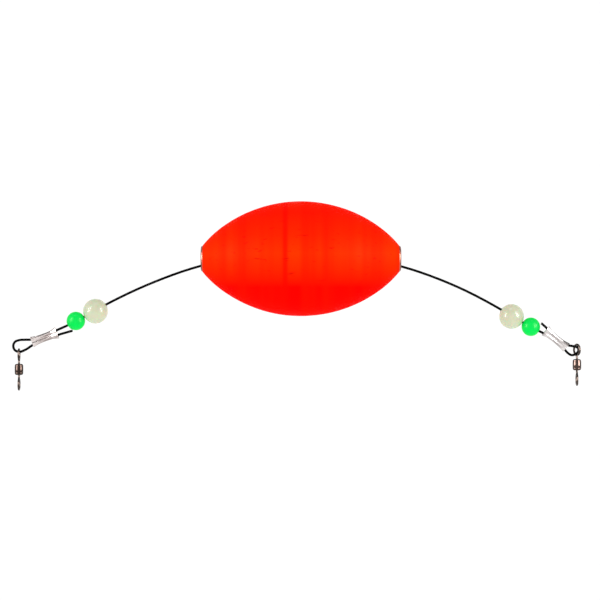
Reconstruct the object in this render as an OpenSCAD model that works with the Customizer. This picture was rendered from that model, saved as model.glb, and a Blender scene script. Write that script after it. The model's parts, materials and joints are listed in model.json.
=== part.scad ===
// Bobber float rig: an oval foam float that slides on a coated wire leader, with a
// glow bead, a small bumper bead, a crimped loop and a barrel swivel on each side.
// Millimetres. X runs along the float, Z is up, the origin is the middle of the float.

/* [Float] */
// Length of the foam body between its two end faces
float_length = 63.2; // [50:0.1:64]
// Largest diameter of the foam body
float_diameter = 37; // [28:0.5:48]
// How far past each end face the two curved sides would meet
float_tip_reach = 2.4; // [2:0.05:4]
// How pointed the ends are: a lower value is blunter
float_taper = 0.73; // [0.6:0.01:0.85]
// Diameter of the hole through the foam
float_bore = 6.8; // [6.5:0.1:7.2]

/* [Centre tube and eyelets] */
// Wall of the tube that lines the foam
tube_wall = 0.45; // [0.3:0.05:0.5]
// Space between the tube and each eyelet barrel, along the float
tube_end_gap = 0.3; // [0.1:0.1:1]
// Hole through each eyelet
eyelet_hole = 6.1; // [5.8:0.1:6.2]
// Outer diameter of the domed eyelet rim
eyelet_rim = 8.4; // [8:0.1:8.6]
// How far the eyelet rim stands out from the foam
eyelet_dome = 0.65; // [0.3:0.05:1]
// Radius of the rounded edge where the wire runs over the eyelet
eyelet_lip = 0.25; // [0.1:0.05:0.3]
// How deep each eyelet barrel reaches into the foam
eyelet_depth = 5; // [2:0.5:10]

/* [Leader] */
// Diameter of the coated wire
wire_diameter = 0.8; // [0.5:0.02:1]

/* [Beads] */
// Diameter of the large glow beads
glow_diameter = 8; // [6:0.1:10]
// Diameter of the small green beads
green_diameter = 6; // [4.5:0.1:7]
// Slack of the bead holes on the wire, across the diameter
bead_slack = 0.8; // [0.7:0.05:1.2]
// Space between neighbouring beads at rest
bead_gap = 0.05; // [0.02:0.01:0.2]

/* [Crimp sleeves] */
// Length of a crimp sleeve
sleeve_length = 8.6; // [7:0.1:10]
// Wall around each bore
sleeve_wall = 0.35; // [0.2:0.01:0.5]
// Distance between the two bores of a sleeve
sleeve_spacing = 1.3; // [1.2:0.05:1.5]
// How far the mouth next to the beads flares out from the sleeve, on every side
near_flare = 0.6; // [0.3:0.05:0.8]
// How far the mouth next to the loop flares out
far_flare = 0.35; // [0.2:0.05:0.7]
// Length of each flared mouth
sleeve_mouth = 2.2; // [1.5:0.1:2.6]
// How deep the jaws have pressed the middle of the sleeve
sleeve_press = 0.16; // [0.05:0.01:0.2]

/* [Swivels] */
// Length of a swivel barrel
barrel_length = 3.6; // [3:0.1:5]
// Diameter of a swivel barrel
barrel_diameter = 2.8; // [2.6:0.1:3.6]
// Wall of a swivel barrel
barrel_wall = 0.4; // [0.3:0.05:0.5]
// Thickness of the closed ends of a swivel barrel
barrel_end = 0.6; // [0.4:0.05:0.9]
// Chamfer at both ends of a swivel barrel
barrel_chamfer = 0.45; // [0.2:0.05:0.6]
// Diameter of the wire that a swivel eye is bent from
eye_wire = 0.7; // [0.5:0.05:0.8]
// Hole of a swivel eye
eye_hole = 2.7; // [2.4:0.1:4]
// Straight neck between a swivel eye and its barrel
eye_neck = 0.95; // [0.6:0.05:2]
// Head that holds a swivel eye inside its barrel
eye_head = 1.6; // [1.4:0.1:1.7]
// Thickness of that head
eye_head_height = 0.6; // [0.4:0.05:0.8]

/* [Hidden] */

$fn = 96;
// Radial fit of the tube and the eyelets in the foam
seat_fit = 0.02;
// Running clearance of a swivel eye in its barrel
swivel_fit = 0.1;
// Space between a swivel eye and the wire that it hangs on
hang_fit = 0.1;
// Space between the wire and the bores of a sleeve, across the diameter
crimp_fit = 0.1;
// Points along half of the float's outline
outline_steps = 24;
// Tool cuts start this far outside what they cut
cut = 1;

// Route of the wire, end to end, its points chosen by hand.
// Left cut end, down through the left sleeve, round the left loop and back up:
// then over the left beads, through the float and over the right beads:
// then down through the right sleeve, round the right loop and back to the right cut end.
route = [
    [-73.6, 0, -23.2], [-78.25, 0, -24.55], [-80.55, 0, -25.3], [-84.1, 0, -26.6],
    [-86.3, 0, -27.75], [-88.9, 0, -29.4], [-90.8, 0, -30], [-92.1, 0, -29.45],
    [-92.65, 0, -28.1], [-92.1, 0, -26.8], [-90.8, 0, -26.25], [-88.9, 0, -26.1],
    [-86.9, 0, -26.05], [-84.6, 0, -25.4], [-81.05, 0, -24.1], [-78.8, 0, -23.1],
    [-72.5, 0, -20.2], [-66, 0, -16.5], [-50, 0, -8.65], [-32.2, 0, -2.3],
    [0, 0, 1.8],
    [32.2, 0, -2.45], [50, 0, -8.9], [67.8, 0, -18.3], [74, 0, -22],
    [78.1, 0.3, -24], [80.25, 0.2, -25.2], [83.25, 0.2, -27.6], [84.85, 0.35, -29.1],
    [86.2, 1.4, -30.5], [87.7, 2.3, -31.1], [89, 2.3, -30.5], [89.5, 1.3, -29.5],
    [88.9, 0.2, -28.5], [87.5, -0.3, -28.15], [85.95, -0.35, -27.85],
    [84, -0.2, -26.65], [81, -0.2, -24.25], [79.3, -0.35, -22.5], [77.4, -0.8, -20.8],
];
// Longest space between two rings of the tube that is swept along the route
ring_gap = 5;
// Largest turn between two rings
ring_turn = 24;
wire_sides = 8;

// Where each loop carries its swivel, and how far the swivel's eye is turned about Z
hang_left = [-90.8, 0, -30];
hang_right = [88.9, 0.2, -28.5];
loop_eye_turn_left = 0;
loop_eye_turn_right = 28;

// Middle of the near mouth of each sleeve, its pitch about Y and its roll
sleeve_left_at = [-78.55, 0, -23.85];
sleeve_left_pitch = 159.6;
sleeve_left_roll = 0;
sleeve_right_at = [78.75, 0, -23.25];
sleeve_right_pitch = 38.6;
sleeve_right_roll = 20;

// Each wire tail bends along an arc: its centre, its radius and the angle from the
// vertical at which the small bead is stopped. The beads slide along these arcs.
tail_left_centre = [17, 0, -165];
tail_left_radius = 170.1;
tail_left_stop = -32.7;
tail_right_centre = [-16, 0, -157.5];
tail_right_radius = 162.5;
tail_right_stop = 34.65;
// The large bead hangs on the wire and the small one is lifted by the cut end
bead_play = 0.25;

face_x = float_length / 2;
barrel_r = float_bore / 2 - seat_fit;
bead_bore = wire_diameter + bead_slack;
sleeve_bore = wire_diameter + crimp_fit;
eye_r = (eye_hole + eye_wire) / 2;
// From the point that an eye hangs on to the middle of the eye
hang_drop = eye_hole / 2 - wire_diameter / 2 - hang_fit;
// From the middle of an eye to the end face of the barrel
eye_reach = eye_hole / 2 + eye_wire + eye_neck;

// ---- Curve through the route ----

function unit(v) = v / norm(v);

// Direction of the curve at point i, weighted so that uneven spacing leaves no kink
function heading(p, i) =
    let (last = len(p) - 1)
    i == 0 ? unit(p[1] - p[0]) :
    i == last ? unit(p[last] - p[last - 1]) :
    let (before = p[i] - p[i - 1], after = p[i + 1] - p[i])
    unit(unit(before) * norm(after) + unit(after) * norm(before));

// Point at share t of the way from point i to the next one
function between(p, i, t) =
    let (span = norm(p[i + 1] - p[i]))
    p[i] * (2 * pow(t, 3) - 3 * pow(t, 2) + 1)
    + heading(p, i) * span * (pow(t, 3) - 2 * pow(t, 2) + t)
    + p[i + 1] * (3 * pow(t, 2) - 2 * pow(t, 3))
    + heading(p, i + 1) * span * (pow(t, 3) - pow(t, 2));

function turn(a, b) = acos(min(1, a * b));

function ring_count(p, i) =
    max(
        1,
        ceil(norm(p[i + 1] - p[i]) / ring_gap),
        ceil(turn(heading(p, i), heading(p, i + 1)) / ring_turn)
    );

function ring_centres(p) = [
    for (i = [0 : len(p) - 2])
        let (n = ring_count(p, i))
        for (k = [0 : n - 1]) between(p, i, k / n),
    p[len(p) - 1],
];

// A side direction for each ring, carried along the curve so that the tube never twists
function ring_sides(c) = [
    for (
        i = 0, side = square_to([0, 1, 0], heading(c, 0));
        i < len(c);
        i = i + 1, side = i < len(c) ? square_to(side, heading(c, i)) : side
    ) side,
];

function square_to(v, axis) = unit(v - axis * (v * axis));

module swept_tube(path, r, sides) {
    c = ring_centres(path);
    side = ring_sides(c);
    last = len(c) - 1;
    points = [
        for (i = [0 : last])
            let (up = cross(heading(c, i), side[i]))
            for (s = [0 : sides - 1])
                let (a = 360 * s / sides)
                c[i] + r * (cos(a) * side[i] + sin(a) * up),
    ];
    walls = [
        for (i = [0 : last - 1], s = [0 : sides - 1])
            let (
                a = i * sides + s,
                b = i * sides + (s + 1) % sides,
                c = a + sides,
                d = b + sides
            )
            each [[a, d, b], [a, c, d]],
    ];
    start_cap = [for (s = [0 : sides - 1]) s];
    end_cap = [for (s = [sides - 1 : -1 : 0]) last * sides + s];
    polyhedron(points, concat(walls, [start_cap], [end_cap]));
}

// ---- Float ----

function outline_r(x) =
    float_diameter / 2 * pow(1 - pow(x / (face_x + float_tip_reach), 2), float_taper);

// Turns a piece that was revolved about Z so that its axis lies along X
module along_x() {
    rotate([0, 90, 0]) children();
}

module float_body() {
    outline = [
        for (i = [-outline_steps : outline_steps])
            let (x = face_x * sin(90 * i / outline_steps)) [outline_r(x), x],
    ];
    color("orangered")
        along_x()
            difference() {
                rotate_extrude()
                    polygon(concat([[0, -face_x]], outline, [[0, face_x]]));
                cylinder(h = float_length + 2 * cut, d = float_bore, center = true);
            }
}

module centre_tube() {
    tube_length = float_length - 2 * (eyelet_depth + tube_end_gap);
    color("ivory")
        along_x()
            difference() {
                cylinder(h = tube_length, r = barrel_r, center = true);
                cylinder(h = tube_length + 2 * cut, r = barrel_r - tube_wall, center = true);
            }
}

module eyelet(side) {
    lip_centre = eyelet_hole / 2 + eyelet_lip;
    dome_width = eyelet_rim / 2 - lip_centre;
    dome = [for (a = [0 : 10 : 90]) [lip_centre + dome_width * cos(a), eyelet_dome * sin(a)]];
    lip = [
        for (a = [105 : 15 : 180])
            [lip_centre + eyelet_lip * cos(a), eyelet_dome - eyelet_lip + eyelet_lip * sin(a)],
    ];
    color("saddlebrown")
        mirror([side < 0 ? 1 : 0, 0, 0])
            translate([face_x, 0, 0])
                along_x() {
                    rotate_extrude() polygon(concat(dome, lip, [[eyelet_hole / 2, 0]]));
                    translate([0, 0, -eyelet_depth])
                        difference() {
                            cylinder(h = eyelet_depth, r = barrel_r);
                            translate([0, 0, -cut])
                                cylinder(h = eyelet_depth + 2 * cut, d = eyelet_hole);
                        }
                }
}

// ---- Leader ----

module leader_wire() {
    color("black") swept_tube(route, wire_diameter / 2, wire_sides);
}

// One cross-section of a sleeve, lying in the YZ plane: two bores side by side
module sleeve_slice(x, grow, spread = sleeve_spacing) {
    translate([x, 0, 0])
        rotate([0, 90, 0])
            for (s = [-1, 1])
                translate([s * spread / 2, 0, 0])
                    cylinder(h = 0.01, d = sleeve_bore + 2 * grow, $fn = 32);
}

module crimp_sleeve(at, pitch, roll) {
    middle = sleeve_length / 2;
    body = sleeve_wall;
    shoulder = sleeve_length - sleeve_mouth;
    color("silver")
        translate(at)
            rotate([0, pitch, 0])
                rotate([roll, 0, 0])
                    difference() {
                        union() {
                            hull() {
                                sleeve_slice(0, body + near_flare);
                                sleeve_slice(sleeve_mouth, body);
                            }
                            hull() {
                                sleeve_slice(sleeve_mouth, body);
                                sleeve_slice(middle, body - sleeve_press);
                            }
                            hull() {
                                sleeve_slice(middle, body - sleeve_press);
                                sleeve_slice(shoulder, body);
                            }
                            hull() {
                                sleeve_slice(shoulder, body);
                                sleeve_slice(sleeve_length, body + far_flare);
                            }
                        }
                        hull() {
                            sleeve_slice(-0.01, near_flare);
                            sleeve_slice(sleeve_mouth, 0);
                        }
                        hull() {
                            sleeve_slice(shoulder, 0);
                            sleeve_slice(sleeve_length + 0.01, far_flare);
                        }
                        for (s = [-1, 1])
                            translate([-cut, 0, s * sleeve_spacing / 2])
                                along_x()
                                    cylinder(h = sleeve_length + 2 * cut, d = sleeve_bore);
                    }
}

// ---- Beads ----

function degrees_along(distance, radius) = distance / radius * 180 / PI;

// A drilled ball on a tail's arc, at an angle from the vertical and off the wire by lift
module bead(diameter, centre, radius, angle, lift) {
    translate(centre)
        rotate([0, angle, 0])
            translate([0, 0, radius + lift])
                difference() {
                    sphere(d = diameter);
                    along_x() cylinder(h = diameter + 2 * cut, d = bead_bore, center = true);
                }
}

module green_bead(centre, radius, stop, side) {
    angle = stop - side * degrees_along(green_diameter / 2, radius);
    color("springgreen") bead(green_diameter, centre, radius, angle, bead_play);
}

module glow_bead(centre, radius, stop, side) {
    from_stop = green_diameter + bead_gap + glow_diameter / 2;
    angle = stop - side * degrees_along(from_stop, radius);
    color("beige") bead(glow_diameter, centre, radius, angle, -bead_play);
}

// ---- Swivels ----

// An eye at the origin with its neck and head below it, its ring facing along X
module swivel_eye() {
    head_top = -eye_reach - barrel_end - swivel_fit;
    along_x()
        rotate_extrude()
            translate([eye_r, 0]) circle(d = eye_wire, $fn = 32);
    translate([0, 0, head_top - eye_head_height])
        cylinder(h = -head_top + eye_head_height - eye_r, d = eye_wire, $fn = 48);
    translate([0, 0, head_top - eye_head_height])
        cylinder(h = eye_head_height, d = eye_head, $fn = 48);
}

// Height of the middle of a swivel barrel, under the point that the swivel hangs on
function barrel_z(hang) = hang.z - hang_drop - eye_reach - barrel_length / 2;

module loop_eye(hang, angle) {
    color("dimgray")
        translate([hang.x, hang.y, hang.z - hang_drop])
            rotate([0, 0, angle]) swivel_eye();
}

module line_eye(hang) {
    color("dimgray")
        translate([hang.x, hang.y, barrel_z(hang) - barrel_length / 2 - eye_reach])
            rotate([180, 0, 0]) swivel_eye();
}

module swivel_barrel(hang) {
    half = barrel_length / 2;
    outer = barrel_diameter / 2;
    inner = outer - barrel_wall;
    hole = eye_wire / 2 + swivel_fit;
    color("saddlebrown")
        translate([hang.x, hang.y, barrel_z(hang)])
            difference() {
                rotate_extrude()
                    polygon([
                        [0, -half], [outer - barrel_chamfer, -half],
                        [outer, barrel_chamfer - half], [outer, half - barrel_chamfer],
                        [outer - barrel_chamfer, half], [0, half],
                    ]);
                cylinder(h = barrel_length - 2 * barrel_end, r = inner, center = true);
                cylinder(h = barrel_length + 2 * cut, r = hole, center = true);
            }
}

float_body();
centre_tube();
eyelet(-1);  // eyelet_left
eyelet(1);  // eyelet_right
leader_wire();
crimp_sleeve(sleeve_left_at, sleeve_left_pitch, sleeve_left_roll);  // crimp_sleeve_left
crimp_sleeve(sleeve_right_at, sleeve_right_pitch, sleeve_right_roll);  // crimp_sleeve_right
glow_bead(tail_left_centre, tail_left_radius, tail_left_stop, -1);  // glow_bead_left
green_bead(tail_left_centre, tail_left_radius, tail_left_stop, -1);  // green_bead_left
glow_bead(tail_right_centre, tail_right_radius, tail_right_stop, 1);  // glow_bead_right
green_bead(tail_right_centre, tail_right_radius, tail_right_stop, 1);  // green_bead_right
loop_eye(hang_left, loop_eye_turn_left);  // swivel_left_loop_eye
swivel_barrel(hang_left);  // swivel_left_barrel
line_eye(hang_left);  // swivel_left_line_eye
loop_eye(hang_right, loop_eye_turn_right);  // swivel_right_loop_eye
swivel_barrel(hang_right);  // swivel_right_barrel
line_eye(hang_right);  // swivel_right_line_eye
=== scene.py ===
"""Looks of a bobber float rig: an oval foam float that slides on a coated wire leader, with a
glow bead, a small bumper bead, a crimped loop and a barrel swivel on each side.

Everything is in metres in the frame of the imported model: X runs along the float towards the
right swivel, Z is up and the origin is the middle of the float.
"""

import json
import math

import bmesh
import bpy
from mathutils import Matrix, Vector


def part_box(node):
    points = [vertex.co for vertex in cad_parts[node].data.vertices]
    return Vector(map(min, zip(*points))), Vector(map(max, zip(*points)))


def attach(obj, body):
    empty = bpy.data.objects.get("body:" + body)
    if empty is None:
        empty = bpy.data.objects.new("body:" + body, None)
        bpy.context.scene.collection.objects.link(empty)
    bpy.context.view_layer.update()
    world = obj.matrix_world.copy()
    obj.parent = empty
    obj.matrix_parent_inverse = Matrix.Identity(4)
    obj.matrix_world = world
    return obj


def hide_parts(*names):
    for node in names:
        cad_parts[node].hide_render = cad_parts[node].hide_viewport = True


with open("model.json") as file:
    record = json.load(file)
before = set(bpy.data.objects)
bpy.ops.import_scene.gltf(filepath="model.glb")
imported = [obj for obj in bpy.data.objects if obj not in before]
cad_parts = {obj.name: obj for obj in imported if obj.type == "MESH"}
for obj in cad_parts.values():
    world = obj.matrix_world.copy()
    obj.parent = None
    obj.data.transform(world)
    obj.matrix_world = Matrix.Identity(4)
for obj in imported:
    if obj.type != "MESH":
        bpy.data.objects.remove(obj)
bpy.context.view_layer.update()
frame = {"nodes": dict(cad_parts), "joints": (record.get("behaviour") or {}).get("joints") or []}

MM = 0.001

# ---- Sizes, as the design states them ----

FLOAT_LENGTH = 63.2 * MM
FLOAT_DIAMETER = 37 * MM
TIP_REACH = 2.4 * MM
TAPER = 0.73
FLOAT_BORE = 6.8 * MM

EYELET_HOLE = 6.1 * MM
EYELET_RIM = 8.4 * MM
EYELET_DOME = 0.65 * MM
EYELET_DEPTH = 5 * MM
EYELET_LIP = 0.25 * MM
SEAT_FIT = 0.02 * MM
EYELET_BARREL = FLOAT_BORE / 2 - SEAT_FIT

WIRE = 0.8 * MM
CORE = 0.5 * MM
BEAD_BORE = 1.6 * MM

SLEEVE_LENGTH = 8.6 * MM
SLEEVE_BORE = 0.9 * MM
SLEEVE_WALL = 0.35 * MM
SLEEVE_SPACING = 1.3 * MM
NEAR_FLARE = 0.6 * MM
FAR_FLARE = 0.35 * MM
SLEEVE_MOUTH = 2.2 * MM
SLEEVE_PRESS = 0.16 * MM
# Middle of the near mouth of each sleeve, its pitch about Y and its roll, in degrees
SLEEVES = {
    "left": ((-0.07855, 0, -0.02385), 159.6, 0),
    "right": ((0.07875, 0, -0.02325), 38.6, 20),
}

BARREL_LENGTH = 3.6 * MM
BARREL_DIAMETER = 2.8 * MM
BARREL_WALL = 0.4 * MM
BARREL_END = 0.6 * MM
EYE_WIRE = 0.7 * MM
EYE_HOLE = 2.7 * MM
EYE_NECK = 0.95 * MM
EYE_HEAD = 1.6 * MM
EYE_HEAD_HEIGHT = 0.6 * MM
SWIVEL_FIT = 0.1 * MM
# Turn of each swivel's upper eye about Z, in degrees
EYE_TURNS = {"left": 0, "right": 28}

# Finish that only shows close up
FOAM_EDGE = 0.2 * MM
BEAD_EDGE = 0.22 * MM
BEAD_RIDGE = 0.02 * MM
BEAD_RIDGE_WIDTH = 0.05 * MM
SWIVEL_EDGE = 0.12 * MM
HEAD_BORE = 0.05 * MM
SLEEVE_GROOVE = 0.36 * MM
SLEEVE_RIPPLE = 0.022 * MM
SLEEVE_LIP = 0.04 * MM
LIP_GROOVE = 0.05 * MM
MOUTH_GROOVE = 0.08 * MM
BORE_GROOVE = 0.1 * MM
TURNING_LINE = -5 * MM

# Route of the wire from its left cut end to its right one
ROUTE = [
    (-0.0736, 0, -0.0232), (-0.07825, 0, -0.02455), (-0.08055, 0, -0.0253), (-0.0841, 0, -0.0266),
    (-0.0863, 0, -0.02775), (-0.0889, 0, -0.0294), (-0.0908, 0, -0.03), (-0.0921, 0, -0.02945),
    (-0.09265, 0, -0.0281), (-0.0921, 0, -0.0268), (-0.0908, 0, -0.02625), (-0.0889, 0, -0.0261),
    (-0.0869, 0, -0.02605), (-0.0846, 0, -0.0254), (-0.08105, 0, -0.0241), (-0.0788, 0, -0.0231),
    (-0.0725, 0, -0.0202), (-0.066, 0, -0.0165), (-0.05, 0, -0.00865), (-0.0322, 0, -0.0023),
    (0, 0, 0.0018), (0.0322, 0, -0.00245), (0.05, 0, -0.0089), (0.0678, 0, -0.0183),
    (0.074, 0, -0.022), (0.0781, 0.0003, -0.024), (0.08025, 0.0002, -0.0252),
    (0.08325, 0.0002, -0.0276), (0.08485, 0.00035, -0.0291), (0.0862, 0.0014, -0.0305),
    (0.0877, 0.0023, -0.0311), (0.089, 0.0023, -0.0305), (0.0895, 0.0013, -0.0295),
    (0.0889, 0.0002, -0.0285), (0.0875, -0.0003, -0.02815), (0.08595, -0.00035, -0.02785),
    (0.084, -0.0002, -0.02665), (0.081, -0.0002, -0.02425), (0.0793, -0.00035, -0.0225),
    (0.0774, -0.0008, -0.0208),
]


# ---- Curves ----


def headings(points):
    """Direction at each point, weighted so that uneven spacing leaves no kink."""
    ways = [(points[1] - points[0]).normalized()]
    for before, here, after in zip(points, points[1:], points[2:]):
        a, b = here - before, after - here
        ways.append((a.normalized() * b.length + b.normalized() * a.length).normalized())
    ways.append((points[-1] - points[-2]).normalized())
    return ways


def smooth_path(points, steps):
    """The smooth curve through the points, with that many steps from each one to the next."""
    points = [Vector(p) for p in points]
    ways = headings(points)
    path = []
    for i in range(len(points) - 1):
        a, b = points[i], points[i + 1]
        span = (b - a).length
        for k in range(steps):
            t = k / steps
            path.append(
                a * (2 * t**3 - 3 * t**2 + 1)
                + ways[i] * span * (t**3 - 2 * t**2 + t)
                + b * (3 * t**2 - 2 * t**3)
                + ways[i + 1] * span * (t**3 - t**2)
            )
    return path + [points[-1]]


def arc(centre, radius, start, end, steps):
    """Points of an arc in the plane of an outline, its angles in degrees."""
    turns = [math.radians(start + (end - start) * i / steps) for i in range(steps + 1)]
    return [(centre[0] + radius * math.cos(a), centre[1] + radius * math.sin(a)) for a in turns]


def eased(outline, radius, steps=4):
    """A closed outline with its corners rounded."""
    out = []
    count = len(outline)
    for i in range(count):
        before, here, after = (Vector(outline[(i + d) % count]) for d in (-1, 0, 1))
        turn = (here - before).angle(after - here, 0)
        if turn < math.radians(20):
            out.append(tuple(here))
            continue
        cut = min(radius, 0.45 * (here - before).length, 0.45 * (after - here).length)
        a = here + (before - here).normalized() * cut
        b = here + (after - here).normalized() * cut
        for k in range(steps + 1):
            t = k / steps
            out.append(tuple(a * (1 - t) ** 2 + here * 2 * t * (1 - t) + b * t**2))
    return out


# ---- Meshes ----


def finished(name, bm, place=None, crease=40):
    """A smooth object from a closed mesh, its place put into the mesh."""
    bmesh.ops.remove_doubles(bm, verts=bm.verts, dist=1e-7)
    bmesh.ops.recalc_face_normals(bm, faces=bm.faces)
    mesh = bpy.data.meshes.new(name)
    bm.to_mesh(mesh)
    bm.free()
    if place is not None:
        mesh.transform(place)
    mesh.shade_smooth()
    mesh.set_sharp_from_angle(angle=math.radians(crease))
    piece = bpy.data.objects.new(name, mesh)
    bpy.context.scene.collection.objects.link(piece)
    return piece


def revolve(bm, outline, turns):
    """Adds a closed outline of (radius, height) points revolved about Z."""
    rings = []
    for k in range(turns):
        a = 2 * math.pi * k / turns
        rings.append([bm.verts.new((r * math.cos(a), r * math.sin(a), z)) for r, z in outline])
    count = len(outline)
    for k in range(turns):
        here, after = rings[k], rings[(k + 1) % turns]
        for i in range(count):
            j = (i + 1) % count
            bm.faces.new((here[i], after[i], after[j], here[j]))


def loft(bm, rings):
    """Adds a skin over closed rings of equal length, and closes its two ends."""
    made = [[bm.verts.new(p) for p in ring] for ring in rings]
    for here, after in zip(made, made[1:]):
        for i in range(len(here)):
            j = (i + 1) % len(here)
            bm.faces.new((here[i], here[j], after[j], after[i]))
    for end in (made[0], made[-1]):
        middle = bm.verts.new(sum((v.co for v in end), Vector()) / len(end))
        for i in range(len(end)):
            bm.faces.new((end[i], end[(i + 1) % len(end)], middle))


def turned(name, outline, place, turns=128, crease=40):
    bm = bmesh.new()
    revolve(bm, outline, turns)
    return finished(name, bm, place, crease)


def along_x(side=1):
    """Turns a piece revolved about Z so that its axis lies along X, towards that side."""
    return Matrix.Rotation(math.radians(90 * side), 4, "Y")


# ---- Geometry node trees ----


def new_tree(name, inputs):
    """A geometry tree with a geometry input, those named inputs and a geometry output."""
    tree = bpy.data.node_groups.new(name, "GeometryNodeTree")
    tree.interface.new_socket(name="Geometry", in_out="INPUT", socket_type="NodeSocketGeometry")
    for label, kind in inputs:
        tree.interface.new_socket(name=label, in_out="INPUT", socket_type="NodeSocket" + kind)
    tree.interface.new_socket(name="Geometry", in_out="OUTPUT", socket_type="NodeSocketGeometry")
    start = tree.nodes.new("NodeGroupInput")
    end = tree.nodes.new("NodeGroupOutput")
    return tree, start, end


def chain(tree, *sockets):
    """Links pairs of sockets: from the first to the second, from the third to the fourth."""
    for source, target in zip(sockets[::2], sockets[1::2]):
        tree.links.new(source, target)


def noise(tree, detail, scale=None, dimensions="3D"):
    """A noise texture. Its scale stays open when a link is to set it."""
    node = tree.nodes.new("ShaderNodeTexNoise")
    node.noise_dimensions = dimensions
    node.inputs["Detail"].default_value = detail
    if scale is not None:
        node.inputs["Scale"].default_value = scale
    return node


def maths(tree, operation, second=None):
    """A Math node, with its second value where that one isn't linked."""
    node = tree.nodes.new("ShaderNodeMath")
    node.operation = operation
    if second is not None:
        node.inputs[1].default_value = second
    return node


def settled(tree, geometry, start, end):
    """Ends a tree: instances made real, shaded smooth and given the material."""
    real = tree.nodes.new("GeometryNodeRealizeInstances")
    smooth = tree.nodes.new("GeometryNodeSetShadeSmooth")
    finish = tree.nodes.new("GeometryNodeSetMaterial")
    chain(
        tree,
        geometry, real.inputs["Geometry"],
        real.outputs["Geometry"], smooth.inputs["Geometry"],
        smooth.outputs["Geometry"], finish.inputs["Geometry"],
        start.outputs["Material"], finish.inputs["Material"],
        finish.outputs["Geometry"], end.inputs["Geometry"],
    )


def wire_tree():
    """A round wire along a line of vertices, with closed ends."""
    tree, start, end = new_tree(
        "bent wire", [("Radius", "Float"), ("Sides", "Int"), ("Material", "Material")]
    )
    line = tree.nodes.new("GeometryNodeMeshToCurve")
    ring = tree.nodes.new("GeometryNodeCurvePrimitiveCircle")
    sweep = tree.nodes.new("GeometryNodeCurveToMesh")
    sweep.inputs["Fill Caps"].default_value = True
    chain(
        tree,
        start.outputs["Geometry"], line.inputs["Mesh"],
        start.outputs["Sides"], ring.inputs["Resolution"],
        start.outputs["Radius"], ring.inputs["Radius"],
        line.outputs["Curve"], sweep.inputs["Curve"],
        ring.outputs["Curve"], sweep.inputs["Profile Curve"],
    )
    settled(tree, sweep.outputs["Mesh"], start, end)
    return tree


def skin_tree():
    """Faint turned rings and shallow dents along the normals of a foam body."""
    tree, start, end = new_tree(
        "foam skin",
        [
            ("Ring Depth", "Float"),
            ("Rings Per Metre", "Float"),
            ("Dent Depth", "Float"),
            ("Dents Per Metre", "Float"),
            ("Seed", "Float"),
            ("Material", "Material"),
        ],
    )
    place = tree.nodes.new("GeometryNodeInputPosition")
    parts = tree.nodes.new("ShaderNodeSeparateXYZ")
    normal = tree.nodes.new("GeometryNodeInputNormal")
    seed_and_x = maths(tree, "ADD")
    rings = noise(tree, 3, dimensions="1D")
    dents = noise(tree, 2, dimensions="4D")
    noise_middle = 0.5
    centred = [maths(tree, "SUBTRACT", noise_middle) for _ in range(2)]
    depth = [maths(tree, "MULTIPLY") for _ in range(2)]
    both = maths(tree, "ADD")
    offset = tree.nodes.new("ShaderNodeVectorMath")
    offset.operation = "SCALE"
    move = tree.nodes.new("GeometryNodeSetPosition")
    for centre, size in zip(centred, depth):
        chain(tree, centre.outputs[0], size.inputs[0])
    chain(
        tree,
        place.outputs["Position"], parts.inputs[0],
        parts.outputs["X"], seed_and_x.inputs[0],
        start.outputs["Seed"], seed_and_x.inputs[1],
        seed_and_x.outputs[0], rings.inputs["W"],
        start.outputs["Rings Per Metre"], rings.inputs["Scale"],
        place.outputs["Position"], dents.inputs["Vector"],
        start.outputs["Seed"], dents.inputs["W"],
        start.outputs["Dents Per Metre"], dents.inputs["Scale"],
        rings.outputs["Fac"], centred[0].inputs[0],
        dents.outputs["Fac"], centred[1].inputs[0],
        start.outputs["Ring Depth"], depth[0].inputs[1],
        start.outputs["Dent Depth"], depth[1].inputs[1],
        depth[0].outputs[0], both.inputs[0],
        depth[1].outputs[0], both.inputs[1],
        normal.outputs[0], offset.inputs[0],
        both.outputs[0], offset.inputs["Scale"],
        start.outputs["Geometry"], move.inputs["Geometry"],
        offset.outputs[0], move.inputs["Offset"],
    )
    settled(tree, move.outputs["Geometry"], start, end)
    return tree


def strand_tree():
    """One strand at the middle and others in a ring round it, on each vertex of the mesh."""
    tree, start, end = new_tree(
        "wire strands",
        [
            ("Strand Radius", "Float"),
            ("Ring Radius", "Float"),
            ("Strands", "Int"),
            ("Length", "Float"),
            ("Rotation", "Rotation"),
            ("Material", "Material"),
        ],
    )
    ring = tree.nodes.new("GeometryNodeMeshCircle")
    middle = tree.nodes.new("GeometryNodeMeshLine")
    middle.inputs["Count"].default_value = 1
    spots = tree.nodes.new("GeometryNodeJoinGeometry")
    rod = tree.nodes.new("GeometryNodeMeshCylinder")
    rod.inputs["Vertices"].default_value = 12
    bundle = tree.nodes.new("GeometryNodeInstanceOnPoints")
    ends = tree.nodes.new("GeometryNodeInstanceOnPoints")
    chain(
        tree,
        start.outputs["Strands"], ring.inputs["Vertices"],
        start.outputs["Ring Radius"], ring.inputs["Radius"],
        ring.outputs["Mesh"], spots.inputs[0],
        middle.outputs["Mesh"], spots.inputs[0],
        start.outputs["Strand Radius"], rod.inputs["Radius"],
        start.outputs["Length"], rod.inputs["Depth"],
        spots.outputs[0], bundle.inputs["Points"],
        rod.outputs["Mesh"], bundle.inputs["Instance"],
        start.outputs["Geometry"], ends.inputs["Points"],
        bundle.outputs["Instances"], ends.inputs["Instance"],
        start.outputs["Rotation"], ends.inputs["Rotation"],
    )
    settled(tree, ends.outputs["Instances"], start, end)
    return tree


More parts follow.
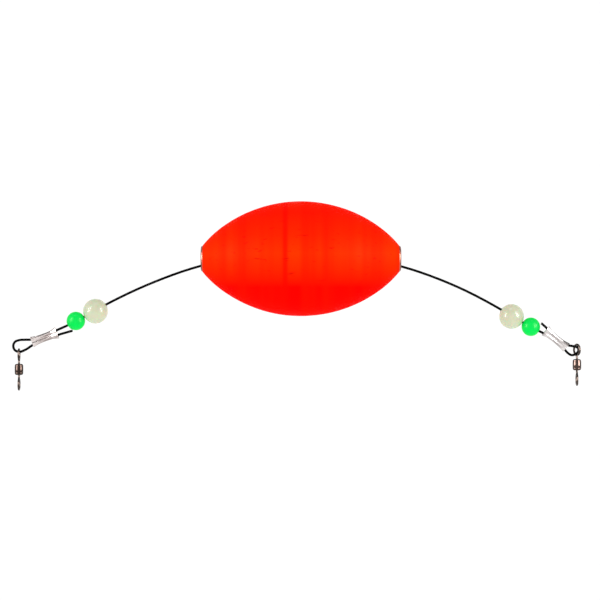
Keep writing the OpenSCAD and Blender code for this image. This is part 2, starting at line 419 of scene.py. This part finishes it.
def grown(piece, tree, values):
    """Runs a tree on a piece and leaves the result as its plain mesh."""
    modifier = piece.modifiers.new("shape", "NODES")
    modifier.node_group = tree
    sockets = {item.name: item.identifier for item in tree.interface.items_tree
               if item.in_out == "INPUT"}
    for label, value in values.items():
        modifier[sockets[label]] = value
    graph = bpy.context.evaluated_depsgraph_get()
    mesh = bpy.data.meshes.new_from_object(piece.evaluated_get(graph))
    piece.modifiers.remove(modifier)
    piece.data = mesh
    mesh.name = piece.name
    return piece


def polyline(name, path, place=None):
    """An object that is only a line of vertices, for a tree to work on."""
    mesh = bpy.data.meshes.new(name)
    mesh.from_pydata([tuple(p) for p in path], [(i, i + 1) for i in range(len(path) - 1)], [])
    if place is not None:
        mesh.transform(place)
    piece = bpy.data.objects.new(name, mesh)
    bpy.context.scene.collection.objects.link(piece)
    return piece


# ---- Materials ----

# Sockets of a Mix node that mixes colours
FACTOR, FIRST, SECOND, MIXED = 0, 6, 7, 2


def colour_mix(nodes, second=None):
    """A Mix node for colours, with its second colour where that one isn't linked."""
    node = nodes.new("ShaderNodeMix")
    node.data_type = "RGBA"
    if second is not None:
        node.inputs[SECOND].default_value = second
    return node


def node_group(name, inputs, outputs):
    group = bpy.data.node_groups.new(name, "ShaderNodeTree")
    for label, kind, value in inputs:
        socket = group.interface.new_socket(
            name=label, in_out="INPUT", socket_type="NodeSocket" + kind
        )
        socket.default_value = value
    for label, kind in outputs:
        group.interface.new_socket(name=label, in_out="OUTPUT", socket_type="NodeSocket" + kind)
    return group, group.nodes.new("NodeGroupInput"), group.nodes.new("NodeGroupOutput")


def grain_place(group, start):
    """Object coordinates, turned and then stretched by the group's inputs."""
    place = group.nodes.new("ShaderNodeTexCoord")
    turn = group.nodes.new("ShaderNodeVectorRotate")
    turn.rotation_type = "EULER_XYZ"
    stretch = group.nodes.new("ShaderNodeVectorMath")
    stretch.operation = "MULTIPLY"
    chain(
        group,
        place.outputs["Object"], turn.inputs["Vector"],
        start.outputs["Turn"], turn.inputs["Rotation"],
        turn.outputs["Vector"], stretch.inputs[0],
        start.outputs["Stretch"], stretch.inputs[1],
    )
    return place.outputs["Object"], stretch.outputs[0]


def wear_and_reflection_group():
    """Patches and specks of a second colour, with a rougher surface where they lie."""
    group, start, end = node_group(
        "wear and painted reflections",
        [
            ("Colour", "Color", (0.5, 0.5, 0.5, 1)),
            ("Worn Colour", "Color", (0.3, 0.3, 0.3, 1)),
            ("Turn", "Vector", (0, 0, 0)),
            ("Stretch", "Vector", (1, 1, 1)),
            ("Patch Scale", "Float", 300),
            ("Patch Amount", "Float", 0.3),
            ("Speck Scale", "Float", 3000),
            ("Speck Amount", "Float", 0.2),
            ("Roughness", "Float", 0.3),
            ("Roughness Spread", "Float", 0.2),
        ],
        [("Colour", "Color"), ("Roughness", "Float")],
    )
    plain, stretched = grain_place(group, start)
    patches = noise(group, 4)
    specks = noise(group, 2)
    patch_mask = group.nodes.new("ShaderNodeMapRange")
    speck_mask = group.nodes.new("ShaderNodeMapRange")
    for mask, low, high, amount, texture in (
        (patch_mask, 0.42, 0.62, "Patch Amount", patches),
        (speck_mask, 0.55, 0.7, "Speck Amount", specks),
    ):
        mask.inputs["From Min"].default_value = low
        mask.inputs["From Max"].default_value = high
        chain(group, texture.outputs["Fac"], mask.inputs["Value"])
        chain(group, start.outputs[amount], mask.inputs["To Max"])
    either = maths(group, "MAXIMUM")
    mix = colour_mix(group.nodes)
    rougher = maths(group, "MULTIPLY_ADD")
    chain(
        group,
        stretched, patches.inputs["Vector"],
        plain, specks.inputs["Vector"],
        start.outputs["Patch Scale"], patches.inputs["Scale"],
        start.outputs["Speck Scale"], specks.inputs["Scale"],
        patch_mask.outputs[0], either.inputs[0],
        speck_mask.outputs[0], either.inputs[1],
        either.outputs[0], mix.inputs[FACTOR],
        start.outputs["Colour"], mix.inputs[FIRST],
        start.outputs["Worn Colour"], mix.inputs[SECOND],
        mix.outputs[MIXED], end.inputs["Colour"],
        either.outputs[0], rougher.inputs[0],
        start.outputs["Roughness Spread"], rougher.inputs[1],
        start.outputs["Roughness"], rougher.inputs[2],
        rougher.outputs[0], end.inputs["Roughness"],
    )
    return group


def grain_group():
    """Height of a fine surface: a stretched grain and a finer, even one."""
    group, start, end = node_group(
        "fine grain",
        [
            ("Turn", "Vector", (0, 0, 0)),
            ("Stretch", "Vector", (1, 1, 1)),
            ("Scale", "Float", 1500),
            ("Fine Share", "Float", 0.3),
        ],
        [("Height", "Float")],
    )
    plain, stretched = grain_place(group, start)
    grain = noise(group, 4)
    fine = noise(group, 2, 9000)
    blend = group.nodes.new("ShaderNodeMix")
    chain(
        group,
        stretched, grain.inputs["Vector"],
        start.outputs["Scale"], grain.inputs["Scale"],
        plain, fine.inputs["Vector"],
        start.outputs["Fine Share"], blend.inputs[0],
        grain.outputs["Fac"], blend.inputs[2],
        fine.outputs["Fac"], blend.inputs[3],
        blend.outputs[0], end.inputs["Height"],
    )
    return group


def new_material(name):
    material = bpy.data.materials.new(name)
    material.use_nodes = True
    nodes = material.node_tree.nodes
    return material, nodes, nodes["Principled BSDF"]


def finish_material(name, wear, grain, bump, **surface):
    """A material from the two shared groups, with the bump's strength and height.

    The remaining values go on the shader itself.
    """
    material, nodes, shader = new_material(name)
    tree = material.node_tree
    wear_and_reflection = nodes.new("ShaderNodeGroup")
    wear_and_reflection.node_tree = WEAR_AND_REFLECTION
    for label, value in wear.items():
        wear_and_reflection.inputs[label].default_value = value
    grained = nodes.new("ShaderNodeGroup")
    grained.node_tree = GRAIN
    for label, value in grain.items():
        grained.inputs[label].default_value = value
    relief = nodes.new("ShaderNodeBump")
    relief.inputs["Strength"].default_value = bump[0]
    relief.inputs["Distance"].default_value = bump[1]
    chain(
        tree,
        wear_and_reflection.outputs["Colour"], shader.inputs["Base Color"],
        wear_and_reflection.outputs["Roughness"], shader.inputs["Roughness"],
        grained.outputs["Height"], relief.inputs["Height"],
        relief.outputs["Normal"], shader.inputs["Normal"],
    )
    for label, value in surface.items():
        shader.inputs[label.replace("_", " ")].default_value = value
    return material


def mapped(nodes, low, high, to_low, to_high, smooth=False):
    """A node that maps one range of values onto another."""
    node = nodes.new("ShaderNodeMapRange")
    node.interpolation_type = "SMOOTHSTEP" if smooth else "LINEAR"
    for label, value in zip(("From Min", "From Max", "To Min", "To Max"),
                            (low, high, to_low, to_high)):
        node.inputs[label].default_value = value
    return node


# Green share of the foam's colour, from its lowest point at 0 to its highest at 1: painted light
# and shade, with a lit band across the middle and shade towards the bottom and the top
FOAM_SHADE_TONES = (
    (0, 0.0005), (0.25, 0.0006), (0.4, 0.016), (0.54, 0.028), (0.7, 0.015), (0.9, 0.006),
    (1, 0.01),
)
BAND_COLOUR = (0.93, 0.004, 0, 1)
LINE_COLOUR = (0.86, 0.0015, 0, 1)
RUB_COLOUR = (0.42, 0.0015, 0.0004, 1)


def foam_material():
    """Fluorescent closed-cell foam: bands and one line left by turning, pores and fine rubs, over
    painted light and shade that change with height, and a painted glow.
    """
    material, nodes, shader = new_material("orange foam")
    tree = material.node_tree
    place = nodes.new("ShaderNodeTexCoord")
    parts = nodes.new("ShaderNodeSeparateXYZ")
    level = mapped(nodes, -FLOAT_DIAMETER / 2, FLOAT_DIAMETER / 2, 0, 1)
    # Painted light and shade: the green share follows the height, lit across the middle and
    # shaded at the bottom and the top.
    shade_tones = nodes.new("ShaderNodeValToRGB")
    ramp = shade_tones.color_ramp.elements
    while len(ramp) < len(FOAM_SHADE_TONES):
        ramp.new(0.5)
    for stop, (where, green) in zip(ramp, FOAM_SHADE_TONES):
        stop.position = where
        stop.color = (0.95, green, 0, 1)
    bands = noise(tree, 1.5, 190, "1D")
    band_mask = mapped(nodes, 0.36, 0.7, 0, 0.65)
    banded = colour_mix(nodes, BAND_COLOUR)
    from_line = maths(tree, "ADD", -TURNING_LINE)
    off_line = maths(tree, "ABSOLUTE")
    line_mask = mapped(nodes, 0.2 * MM, 1.3 * MM, 0.75, 0, True)
    lined = colour_mix(nodes, LINE_COLOUR)
    long_rubs = nodes.new("ShaderNodeVectorMath")
    long_rubs.operation = "MULTIPLY"
    long_rubs.inputs[1].default_value = (0.2, 1, 1)
    rubs = noise(tree, 5, 900)
    rub_mask = mapped(nodes, 0.62, 0.7, 0, 0.6)
    rubbed = colour_mix(nodes, RUB_COLOUR)
    pores = nodes.new("ShaderNodeTexVoronoi")
    pores.inputs["Scale"].default_value = 1500
    pore_mask = mapped(nodes, 0.08, 0.3, 0, 1)
    rings = noise(tree, 4, 900, "1D")
    ring_share = 0.5
    height = maths(tree, "MULTIPLY_ADD", ring_share)
    relief = nodes.new("ShaderNodeBump")
    relief.inputs["Strength"].default_value = 0.35
    relief.inputs["Distance"].default_value = 0.00006
    sheen = mapped(nodes, 0.3, 0.7, 0.4, 0.58)
    chain(
        tree,
        place.outputs["Object"], parts.inputs[0],
        parts.outputs["Z"], level.inputs["Value"],
        level.outputs[0], shade_tones.inputs["Fac"],
        parts.outputs["X"], bands.inputs["W"],
        bands.outputs["Fac"], band_mask.inputs["Value"],
        band_mask.outputs[0], banded.inputs[FACTOR],
        shade_tones.outputs["Color"], banded.inputs[FIRST],
        parts.outputs["X"], from_line.inputs[0],
        from_line.outputs[0], off_line.inputs[0],
        off_line.outputs[0], line_mask.inputs["Value"],
        line_mask.outputs[0], lined.inputs[FACTOR],
        banded.outputs[MIXED], lined.inputs[FIRST],
        place.outputs["Object"], long_rubs.inputs[0],
        long_rubs.outputs[0], rubs.inputs["Vector"],
        rubs.outputs["Fac"], rub_mask.inputs["Value"],
        rub_mask.outputs[0], rubbed.inputs[FACTOR],
        lined.outputs[MIXED], rubbed.inputs[FIRST],
        rubbed.outputs[MIXED], shader.inputs["Base Color"],
        rubbed.outputs[MIXED], shader.inputs["Emission Color"],
        place.outputs["Object"], pores.inputs["Vector"],
        pores.outputs["Distance"], pore_mask.inputs["Value"],
        parts.outputs["X"], rings.inputs["W"],
        rings.outputs["Fac"], height.inputs[0],
        pore_mask.outputs[0], height.inputs[2],
        height.outputs[0], relief.inputs["Height"],
        relief.outputs["Normal"], shader.inputs["Normal"],
        bands.outputs["Fac"], sheen.inputs["Value"],
        sheen.outputs[0], shader.inputs["Roughness"],
    )
    # Painted glow: the foam gives off its own colour, painted shade included, which stands in for
    # fluorescence and keeps the red at full strength all over.
    shader.inputs["Emission Strength"].default_value = 0.38
    shader.inputs["Specular IOR Level"].default_value = 0.003
    return material


WEAR_AND_REFLECTION = wear_and_reflection_group()
GRAIN = grain_group()

foam = foam_material()
wire_coat = finish_material(
    "wire coat",
    {"Colour": (0.002, 0.002, 0.002, 1), "Worn Colour": (0.006, 0.006, 0.006, 1),
     "Patch Scale": 500, "Patch Amount": 0.4, "Speck Scale": 4000, "Speck Amount": 0.3,
     "Roughness": 0.3, "Roughness Spread": 0.2},
    {"Scale": 2500, "Fine Share": 0.4},
    (0.25, 0.00003), Specular_IOR_Level=0.02,
)
wire_core = finish_material(
    "cut steel",
    {"Colour": (0.35, 0.34, 0.33, 1), "Worn Colour": (0.12, 0.11, 0.1, 1),
     "Speck Scale": 9000, "Roughness": 0.3},
    {"Scale": 9000}, (0.4, 0.00001), Metallic=1,
)
eyelet_brass = finish_material(
    "eyelet brass",
    {"Colour": (0.33, 0.12, 0.085, 1), "Worn Colour": (0.1, 0.04, 0.03, 1),
     "Patch Scale": 700, "Patch Amount": 0.6, "Speck Scale": 3500, "Speck Amount": 0.4,
     "Roughness": 0.3, "Roughness Spread": 0.25},
    {"Stretch": (1, 0.15, 0.15), "Scale": 3500}, (0.3, 0.00002), Metallic=1,
)
tube_plastic = finish_material(
    "tube plastic",
    {"Colour": (0.62, 0.6, 0.52, 1), "Worn Colour": (0.42, 0.39, 0.33, 1),
     "Roughness": 0.4, "Roughness Spread": 0.2},
    {"Scale": 1200}, (0.2, 0.00003),
)
glow_plastic = finish_material(
    "glow plastic",
    {"Colour": (0.7, 0.73, 0.53, 1), "Worn Colour": (0.62, 0.67, 0.46, 1),
     "Patch Scale": 260, "Patch Amount": 0.6, "Speck Scale": 3000, "Speck Amount": 0.15,
     "Roughness": 0.22, "Roughness Spread": 0.15},
    {"Scale": 900, "Fine Share": 0.2}, (0.12, 0.00004),
    Subsurface_Weight=0.35, Subsurface_Scale=0.0015, Specular_IOR_Level=0.1,
    Coat_Weight=0.19, Coat_Roughness=0.1,
)
green_plastic = finish_material(
    "green plastic",
    {"Colour": (0.0, 0.9, 0.105, 1), "Worn Colour": (0.0, 0.7, 0.08, 1),
     "Patch Scale": 320, "Patch Amount": 0.35, "Speck Scale": 3000, "Speck Amount": 0.2,
     "Roughness": 0.34, "Roughness Spread": 0.15},
    {"Scale": 900, "Fine Share": 0.2}, (0.12, 0.00004),
    Specular_IOR_Level=0.05, Coat_Weight=0.06, Coat_Roughness=0.15,
)
# Plain colour, streak colour and how far the streaks cover each sleeve. The dark streaks are
# painted reflections, and the right sleeve's lighter plain colour is a painted highlight on a
# copy of the same metal
SLEEVE_TONES_AND_REFLECTIONS = {
    "left": ((0.74, 0.67, 0.65, 1), (0.2, 0.15, 0.14, 1), 0.8),
    "right": ((0.76, 0.72, 0.71, 1), (0.2, 0.17, 0.165, 1), 0.75),
}


def sleeve_metal(side):
    """Bright plated metal, brushed along the sleeve, with painted dark reflections streaked along
    it.
    """
    _, pitch, _ = SLEEVES[side]
    plain, wear_and_reflection, patches = SLEEVE_TONES_AND_REFLECTIONS[side]
    along = (0, -math.radians(pitch), 0)
    # The second colour paints dark reflections as streaks along the sleeve.
    return finish_material(
        "sleeve metal " + side,
        {"Colour": plain, "Worn Colour": wear_and_reflection,
         "Turn": along, "Stretch": (0.16, 1, 1), "Patch Scale": 1500, "Patch Amount": patches,
         "Speck Scale": 5000, "Speck Amount": 0.4, "Roughness": 0.2, "Roughness Spread": 0.15},
        {"Turn": along, "Stretch": (0.08, 1, 1), "Scale": 5000},
        (0.35, 0.00002), Metallic=1,
    )


def swivel_metal(name, colour):
    """Black-brown plating with lighter, warmer patches in upright streaks: partly plating rubbed
    through, partly painted glints.
    """
    return finish_material(
        name,
        # The lighter second colour is partly rubbed plating and partly painted glints.
        {"Colour": colour, "Worn Colour": tuple(2 * c for c in colour[:3]) + (1,),
         "Patch Scale": 900, "Patch Amount": 0.5, "Speck Scale": 6000, "Speck Amount": 0.5,
         "Roughness": 0.13, "Roughness Spread": 0.1},
        {"Stretch": (1, 1, 0.3), "Scale": 5000}, (0.2, 0.00001), Metallic=1,
    )


# The two barrels are one metal: the right one's lighter colour is a painted highlight on a copy
# of the left one's metal.
BARREL_METALS_LIT_PER_SIDE = {
    "left": swivel_metal("barrel metal left", (0.034, 0.023, 0.019, 1)),
    "right": swivel_metal("barrel metal right", (0.066, 0.045, 0.038, 1)),
}
eye_metal = swivel_metal("eye metal", (0.055, 0.042, 0.036, 1))


# ---- Camera, lights and floor ----


CAMERA_PLACE = (-0.0003, -0.993, -0.0133)
FLOOR_Z = -0.2
BOWL_RADIUS = 2.4
BOWL_SWEEP = 0.9
BOWL_WALL = 2.2
BOWL_TURNS = 96
# Name, direction from the float, distance, width and height, and power in watts
SOFTBOXES = (
    ("left softbox", (-0.84, -0.45, 0.22), 0.7, (0.34, 0.5), 12),
    ("right softbox", (0.82, -0.5, 0.2), 0.7, (0.34, 0.5), 14),
    ("top softbox", (0, -0.25, 1), 0.8, (0.6, 0.12), 1.4),
)


def make_camera():
    data = bpy.data.cameras.new("camera")
    data.lens = 185
    data.sensor_width = 36
    camera = bpy.data.objects.new("camera", data)
    camera.location = CAMERA_PLACE
    camera.rotation_euler = (math.radians(90), 0, 0)
    bpy.context.scene.collection.objects.link(camera)
    bpy.context.scene.camera = camera


def softbox(name, direction, distance, size, power):
    """An area light that looks at the float from that direction and only gives highlights."""
    data = bpy.data.lights.new(name, "AREA")
    data.shape = "RECTANGLE"
    data.size, data.size_y = size
    data.energy = power
    light = bpy.data.objects.new(name, data)
    way = Vector(direction).normalized()
    light.location = way * distance
    light.rotation_euler = (-way).to_track_quat("-Z", "Y").to_euler()
    light.visible_diffuse = False
    bpy.context.scene.collection.objects.link(light)


def make_studio():
    """A wide round bowl of pale paper: a floor that curves up into a wall."""
    curve_middle = (BOWL_RADIUS - BOWL_SWEEP, FLOOR_Z + BOWL_SWEEP)
    section = [(MM, FLOOR_Z)] + arc(curve_middle, BOWL_SWEEP, -90, 0, 24)
    section.append((BOWL_RADIUS, FLOOR_Z + BOWL_WALL))
    bm = bmesh.new()
    rings = []
    steps = [2 * math.pi * k / BOWL_TURNS for k in range(BOWL_TURNS)]
    for r, z in section:
        rings.append([bm.verts.new((r * math.cos(a), r * math.sin(a), z)) for a in steps])
    for low, high in zip(rings, rings[1:]):
        for k in range(BOWL_TURNS):
            j = (k + 1) % BOWL_TURNS
            bm.faces.new((low[k], low[j], high[j], high[k]))
    bm.faces.new(rings[0][::-1])
    paper, _, shader = new_material("studio paper")
    shader.inputs["Base Color"].default_value = (0.5, 0.5, 0.5, 1)
    shader.inputs["Roughness"].default_value = 0.9
    shader.inputs["Specular IOR Level"].default_value = 0
    shader.inputs["Emission Color"].default_value = (1, 1, 1, 1)
    shader.inputs["Emission Strength"].default_value = 0.56
    mesh = bpy.data.meshes.new("studio")
    bm.to_mesh(mesh)
    bm.free()
    mesh.shade_smooth()
    mesh.materials.append(paper)
    studio = bpy.data.objects.new("studio", mesh)
    bpy.context.scene.collection.objects.link(studio)


def make_world():
    """Even white light that the metals don't mirror."""
    world = bpy.data.worlds.new("studio air")
    world.use_nodes = True
    sky = world.node_tree.nodes["Background"]
    sky.inputs["Color"].default_value = (1, 1, 1, 1)
    sky.inputs["Strength"].default_value = 0.85
    world.cycles_visibility.glossy = False
    bpy.context.scene.world = world
    bpy.context.scene.view_settings.view_transform = "Standard"


make_camera()
make_world()
make_studio()
for box in SOFTBOXES:
    softbox(*box)


# ---- Leader wire ----

BENT_WIRE = wire_tree()
leader_path = smooth_path(ROUTE, 6)
WIRE_SIDES = 24


def cut_ends():
    """Bare steel strands that show at the two cut ends of the wire."""
    tree = strand_tree()
    strand_length = 0.3 * MM
    ends = []
    for side, tip, inner in (
        ("left", leader_path[0], leader_path[1]),
        ("right", leader_path[-1], leader_path[-2]),
    ):
        spot = polyline("core_end_" + side, [Vector((0, 0, 0))])
        grown(
            spot,
            tree,
            {
                "Strand Radius": CORE / 6,
                "Ring Radius": CORE / 3,
                "Strands": 6,
                "Length": strand_length,
                "Material": wire_core,
            },
        )
        outward = (tip - inner).normalized()
        turn = outward.to_track_quat("Z", "Y").to_matrix().to_4x4()
        spot.data.transform(Matrix.Translation(tip) @ turn)
        ends.append(spot)
    return ends


leader = grown(
    polyline("leader_coat", leader_path),
    BENT_WIRE,
    {"Radius": WIRE / 2, "Sides": WIRE_SIDES, "Material": wire_coat},
)
core_ends = cut_ends()


# ---- Crimp sleeves ----


LOBE_STEPS = 32
LOBE_RIPPLES = 11
FLAT_STEPS = 12
FLAT_RIPPLES = 9
SLEEVE_STEPS = 44
MOUTH_STEPS = 10
FLARE_POWER = 1.7


def lobed_ring(x, radius, groove, ripple=0):
    """A ring round two bores side by side, with a groove between them and pressed ripples."""
    half = SLEEVE_SPACING / 2
    points = []
    for side in (1, -1):
        for k in range(LOBE_STEPS + 1):
            a = math.radians(-90 + 180 * k / LOBE_STEPS)
            reach = radius + ripple * math.cos(LOBE_RIPPLES * a)
            points.append((x, side * reach * math.sin(a), side * (half + reach * math.cos(a))))
        for k in range(1, FLAT_STEPS):
            u = half * (1 - 2 * k / FLAT_STEPS)
            dip = groove * math.cos(math.pi / 2 * u / half) ** 3
            reach = radius - dip + ripple * math.cos(FLAT_RIPPLES * u / half)
            points.append((x, side * reach, side * u))
    return points


def crimp_sleeve(side):
    """A double sleeve with flared mouths, pressed in the middle over both runs of the wire."""
    at, pitch, roll = SLEEVES[side]
    bore = SLEEVE_BORE / 2
    outer, inner = [], []
    for i in range(SLEEVE_STEPS + 1):
        x = SLEEVE_LENGTH * i / SLEEVE_STEPS
        near = max(0, 1 - x / SLEEVE_MOUTH) ** FLARE_POWER
        far = max(0, 1 - (SLEEVE_LENGTH - x) / SLEEVE_MOUTH) ** FLARE_POWER
        flare = NEAR_FLARE * near + FAR_FLARE * far
        middle = math.sin(math.pi * i / SLEEVE_STEPS) ** 2
        body = bore + SLEEVE_WALL + flare - SLEEVE_PRESS * middle
        ripple = SLEEVE_RIPPLE * (0.35 + 0.65 * middle)
        groove = SLEEVE_GROOVE * (0.45 + 0.55 * middle)
        outer.append(lobed_ring(x, body, groove, ripple))
        inner.append((x, bore + flare))
    lip = bore + SLEEVE_WALL / 2
    lip_near = lobed_ring(-SLEEVE_LIP, lip + NEAR_FLARE, LIP_GROOVE)
    lip_far = lobed_ring(SLEEVE_LENGTH + SLEEVE_LIP, lip + FAR_FLARE, LIP_GROOVE)
    rings = [lobed_ring(x, r, BORE_GROOVE) for x, r in inner[1:MOUTH_STEPS]][::-1]
    rings += [lobed_ring(*inner[0], MOUTH_GROOVE), lip_near, *outer, lip_far]
    rings += [lobed_ring(x, r, BORE_GROOVE) for x, r in inner[:-MOUTH_STEPS:-1]]
    bm = bmesh.new()
    loft(bm, rings)
    place = (
        Matrix.Translation(at)
        @ Matrix.Rotation(math.radians(pitch), 4, "Y")
        @ Matrix.Rotation(math.radians(roll), 4, "X")
    )
    piece = finished("crimp_" + side, bm, place, 55)
    piece.data.materials.append(sleeve_metal(side))
    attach(piece, "leader")
    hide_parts("crimp_sleeve_" + side)
    return piece


# ---- Beads ----


def joint(name):
    """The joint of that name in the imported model."""
    return next(j for j in frame["joints"] if j["name"] == name)


def moulded_bead(name, material):
    """A drilled ball on the wire, with eased hole edges and a faint parting line."""
    low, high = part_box(name)
    centre = (low + high) / 2
    radius = (high.y - low.y) / 2
    hole = BEAD_BORE / 2
    first = math.degrees(math.acos(hole / radius))
    steps = 96
    outline = []
    for r, z in arc((0, 0), radius, -first, first, steps):
        ridge = BEAD_RIDGE * math.exp(-((z / BEAD_RIDGE_WIDTH) ** 2))
        outline.append((r + ridge, z))
    outline = eased(outline, BEAD_EDGE, 6)
    swing = Vector(joint(name + "_slide")["pos_m"])
    way = (centre - swing).cross(Vector((0, 1, 0))).normalized()
    place = Matrix.Translation(centre) @ way.to_track_quat("Z", "Y").to_matrix().to_4x4()
    piece = turned(name + "_ball", outline, place, 112)
    piece.data.materials.append(material)
    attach(piece, name)
    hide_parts(name)
    return piece


# ---- Float ----


def foam_body():
    """The foam float: its curved outline, eased end faces and the hole through it."""
    face = FLOAT_LENGTH / 2
    steps = 150
    outline = []
    for i in range(-steps, steps + 1):
        x = face * math.sin(math.pi / 2 * i / steps)
        r = FLOAT_DIAMETER / 2 * (1 - (x / (face + TIP_REACH)) ** 2) ** TAPER
        outline.append((r, x))
    outline += [(FLOAT_BORE / 2, face), (FLOAT_BORE / 2, -face)]
    piece = turned("foam_float", eased(outline, FOAM_EDGE), along_x(), 288, 60)
    grown(
        piece,
        skin_tree(),
        {
            "Ring Depth": 0.05 * MM,
            "Rings Per Metre": 420,
            "Dent Depth": 0.22 * MM,
            "Dents Per Metre": 60,
            "Seed": 4,
            "Material": foam,
        },
    )
    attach(piece, "float")
    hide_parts("float_body")


def eyelet(side, name):
    """A domed grommet with a rolled inner lip and a barrel that sits in the foam."""
    hole, rim = EYELET_HOLE / 2, EYELET_RIM / 2
    crown = hole + EYELET_LIP
    dome = [
        (crown + (rim - crown) * math.cos(a), EYELET_DOME * math.sin(a))
        for a in (math.pi / 2 * k / 12 for k in range(13))
    ]
    lip_arc = arc((crown, EYELET_DOME - EYELET_LIP), EYELET_LIP, 105, 180, 6)
    outline = dome + lip_arc + [
        (hole, -EYELET_DEPTH), (EYELET_BARREL, -EYELET_DEPTH), (EYELET_BARREL, 0),
    ]
    place = Matrix.Translation((side * FLOAT_LENGTH / 2, 0, 0)) @ along_x(side)
    piece = turned("grommet_" + name, outline, place, 128, 35)
    piece.data.materials.append(eyelet_brass)
    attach(piece, "float")
    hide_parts("eyelet_" + name)


# ---- Swivels ----


def eye_path():
    """One bent wire: up the neck, round the ring and back down to the neck."""
    ring = (EYE_HOLE + EYE_WIRE) / 2
    reach = EYE_HOLE / 2 + EYE_WIRE + EYE_NECK
    foot = -reach - BARREL_END - SWIVEL_FIT
    neck = [(0, 0, foot), (0, 0, -reach), (0, 0, -ring - 0.75 * EYE_WIRE)]
    round_ring = [
        (0, ring * math.cos(math.radians(a)), ring * math.sin(math.radians(a)))
        for a in range(-66, 262, 24)
    ]
    return smooth_path(neck + round_ring, 5), foot


def swivel_eye(name, top, turn, flip, body):
    """An eye of bent wire whose head is held inside the barrel."""
    path, foot = eye_path()
    ring_wire = grown(
        polyline("ring", path),
        BENT_WIRE,
        {"Radius": EYE_WIRE / 2, "Sides": WIRE_SIDES, "Material": eye_metal},
    )
    end = foot - EYE_HEAD_HEIGHT
    head = [(HEAD_BORE, foot), (EYE_HEAD / 2, foot), (EYE_HEAD / 2, end), (HEAD_BORE, end)]
    bm = bmesh.new()
    revolve(bm, eased(head, SWIVEL_EDGE), 48)
    bm.from_mesh(ring_wire.data)
    bpy.data.objects.remove(ring_wire)
    place = (
        Matrix.Translation(top)
        @ Matrix.Rotation(math.radians(turn), 4, "Z")
        @ Matrix.Rotation(math.pi if flip else 0, 4, "X")
    )
    piece = finished(name, bm, place, 50)
    piece.data.materials.clear()
    piece.data.materials.append(eye_metal)
    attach(piece, body)
    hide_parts(body)
    return piece


# Barrel outline from its middle to its upper end, in shares of its radius and half length
BARREL_SHOULDER = (
    (1, 0), (1, 0.5), (0.965, 0.58), (0.985, 0.66), (0.93, 0.84), (0.8, 0.96), (0.62, 1),
)


def swivel_barrel(side):
    """A turned barrel with rolled shoulders, a shallow ring near each end and a hollow inside."""
    body = f"swivel_{side}_barrel"
    low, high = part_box(body)
    half, outer = BARREL_LENGTH / 2, BARREL_DIAMETER / 2
    hole, inner = EYE_WIRE / 2 + SWIVEL_FIT, BARREL_DIAMETER / 2 - BARREL_WALL
    upper = [(outer * across, half * up) for across, up in BARREL_SHOULDER] + [
        (hole, half), (hole, half - BARREL_END), (inner, half - BARREL_END),
    ]
    lower = [(r, -z) for r, z in reversed(upper[1:])]
    outline = eased(upper + lower, SWIVEL_EDGE)
    piece = turned(f"barrel_{side}", outline, Matrix.Translation((low + high) / 2), 96, 50)
    piece.data.materials.append(BARREL_METALS_LIT_PER_SIDE[side])
    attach(piece, body)
    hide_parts(body)
    return piece


def swivel(side):
    """The two eyes and the barrel of one swivel."""
    ring = EYE_HOLE / 2 + EYE_WIRE
    low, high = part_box(f"swivel_{side}_loop_eye")
    middle = (low + high) / 2
    top = Vector((middle.x, middle.y, high.z - ring))
    line_low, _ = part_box(f"swivel_{side}_line_eye")
    bottom = Vector((middle.x, middle.y, line_low.z + ring))
    return [
        swivel_eye(f"loop_ring_{side}", top, EYE_TURNS[side], False, f"swivel_{side}_loop_eye"),
        swivel_barrel(side),
        swivel_eye(f"line_ring_{side}", bottom, 0, True, f"swivel_{side}_line_eye"),
    ]


# ---- Assembly ----

on_the_wire = list(core_ends)
for end in core_ends:
    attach(end, "leader")
for side, name in ((-1, "left"), (1, "right")):
    eyelet(side, name)
    on_the_wire.append(crimp_sleeve(name))
    on_the_wire.append(moulded_bead("glow_bead_" + name, glow_plastic))
    on_the_wire.append(moulded_bead("green_bead_" + name, green_plastic))
    on_the_wire += swivel(name)
foam_body()

tube = frame["nodes"]["centre_tube"]
tube.data.materials.clear()
tube.data.materials.append(tube_plastic)

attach(leader, "leader")
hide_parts("leader_wire")
